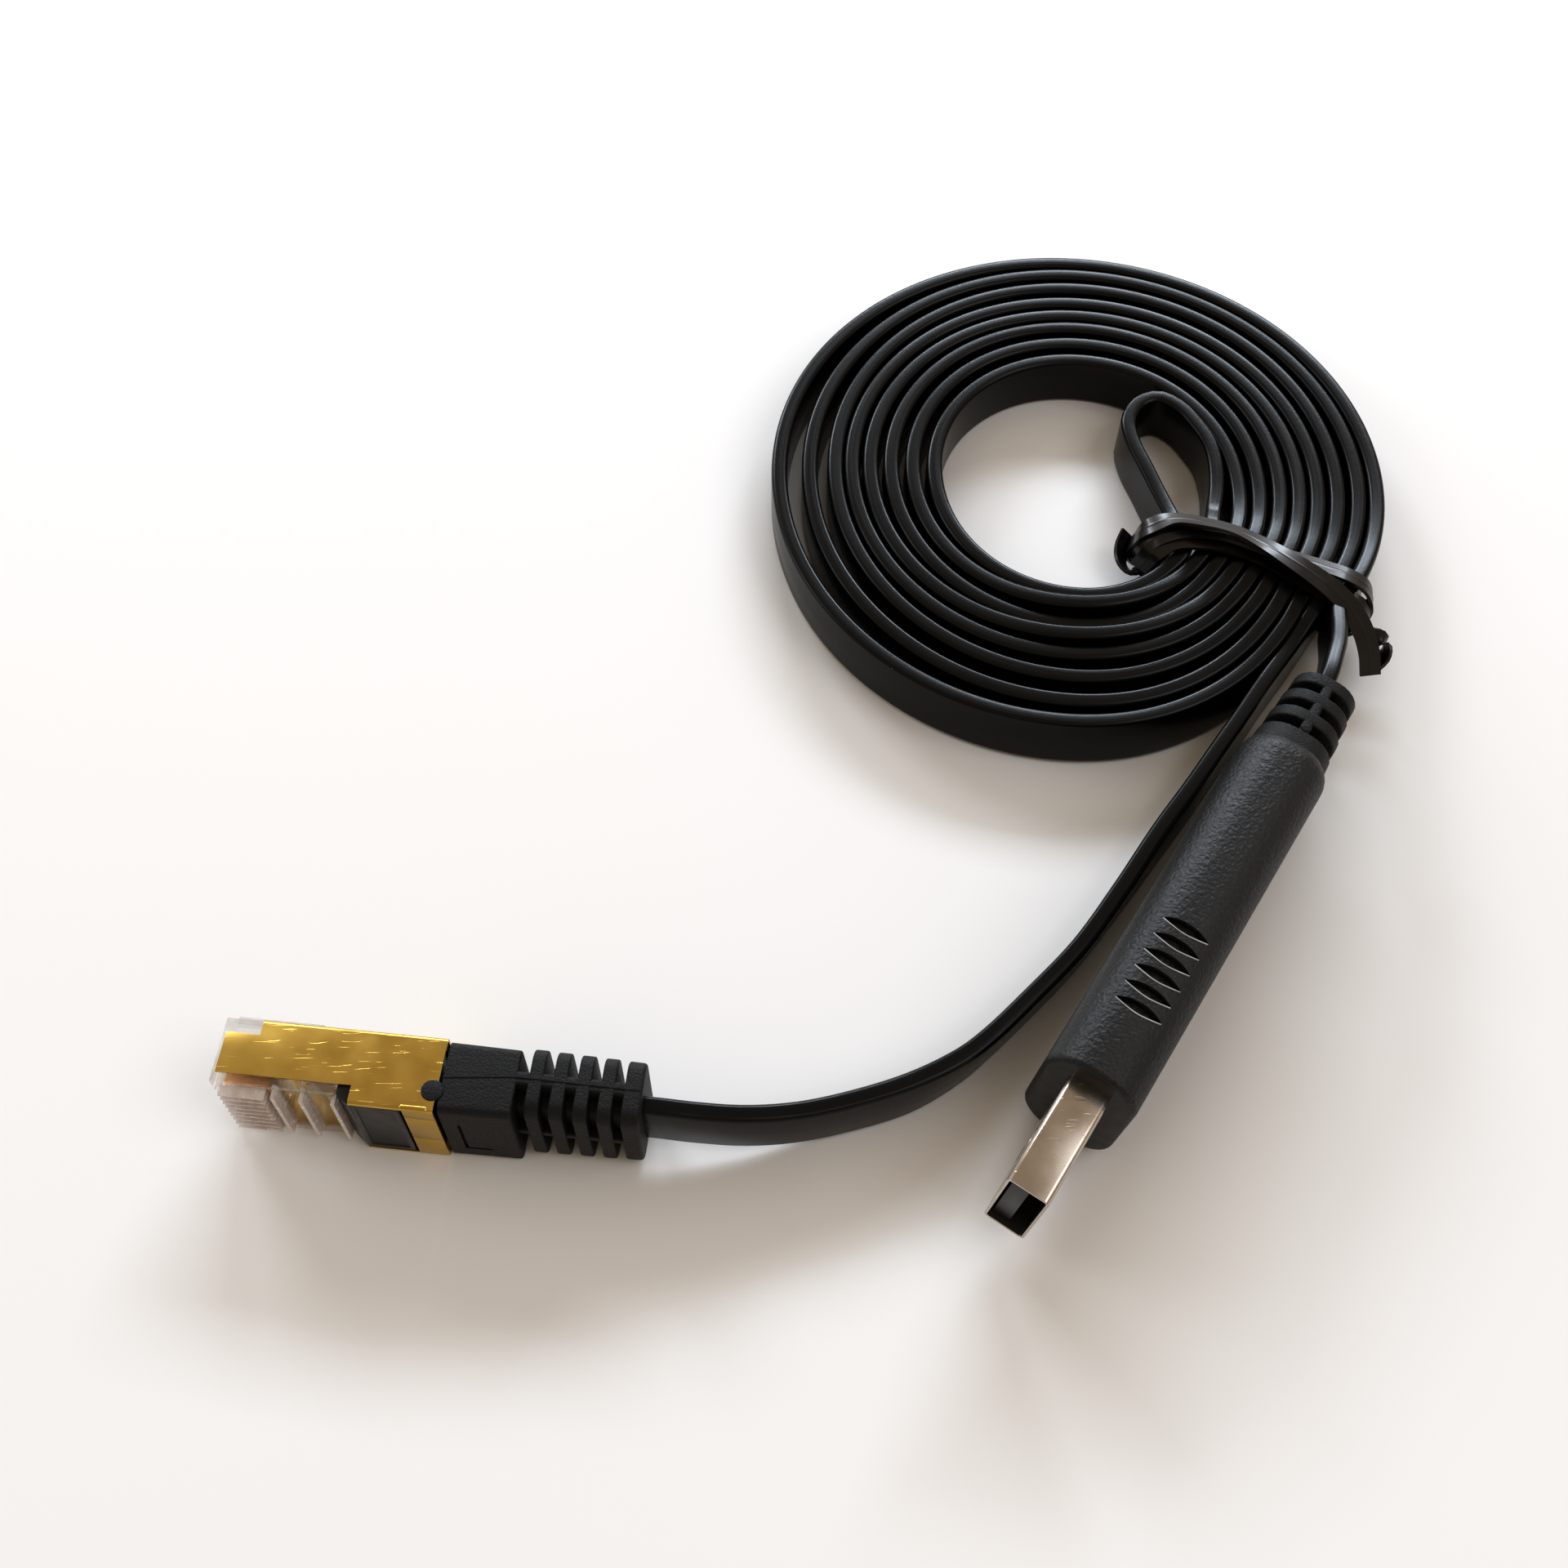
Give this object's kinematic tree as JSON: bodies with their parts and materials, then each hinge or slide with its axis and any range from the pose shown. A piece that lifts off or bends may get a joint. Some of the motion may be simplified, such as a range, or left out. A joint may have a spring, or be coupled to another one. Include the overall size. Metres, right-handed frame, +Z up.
{
  "type": "rj45 console cable",
  "caption": "Flat console cable folded in half and wound on its edge, with a twist tie, a USB-A plug at one end and a shielded 8P8C plug at the other.",
  "frame": {"origin": "on the surface the cable lies on, under the middle of the two plugs' box", "axes": "+Z up, away from the surface; +X from the network plug's end towards the USB plug's end; +Y towards the coil"},
  "size_m": [0.1308, 0.1358, 0.0176],
  "materials": {
    "nickel_steel": "nickel plated, satin",
    "black_plastic": "smooth moulded",
    "gold_contacts": "gold plated",
    "housing_plastic": "fine spark-eroded texture",
    "boot_pvc": "fine sandy texture",
    "clear_plastic": "clear polycarbonate",
    "gold_shield": "gold plated, fine scratches",
    "wire_white": "satin",
    "wire_orange": "satin",
    "wire_blue": "satin",
    "wire_green": "satin",
    "wire_brown": "satin",
    "cable_pvc": "satin",
    "tie_plastic": "glossy"
  },
  "bodies": {
    "root": {"usb_shell": "nickel_steel", "usb_tongue": "black_plastic", "usb_contact_1": "gold_contacts", "usb_contact_2": "gold_contacts", "usb_contact_3": "gold_contacts", "usb_contact_4": "gold_contacts", "usb_housing": "housing_plastic", "usb_boot": "boot_pvc", "network_plug_body": "clear_plastic", "network_shield": "gold_shield", "network_insert": "black_plastic", "network_contact_1": "gold_contacts", "network_contact_2": "gold_contacts", "network_contact_3": "gold_contacts", "network_contact_4": "gold_contacts", "network_contact_5": "gold_contacts", "network_contact_6": "gold_contacts", "network_contact_7": "gold_contacts", "network_contact_8": "gold_contacts", "network_wire_1": "wire_white", "network_wire_2": "wire_orange", "network_wire_3": "wire_white", "network_wire_4": "wire_blue", "network_wire_5": "wire_white", "network_wire_6": "wire_green", "network_wire_7": "wire_white", "network_wire_8": "wire_brown", "network_boot": "boot_pvc", "cable_coil": "cable_pvc", "cable_hairpin": "cable_pvc", "cable_tail_network": "cable_pvc", "cable_tail_usb": "cable_pvc", "twist_tie": "tie_plastic"}
  },
  "joints": []
}
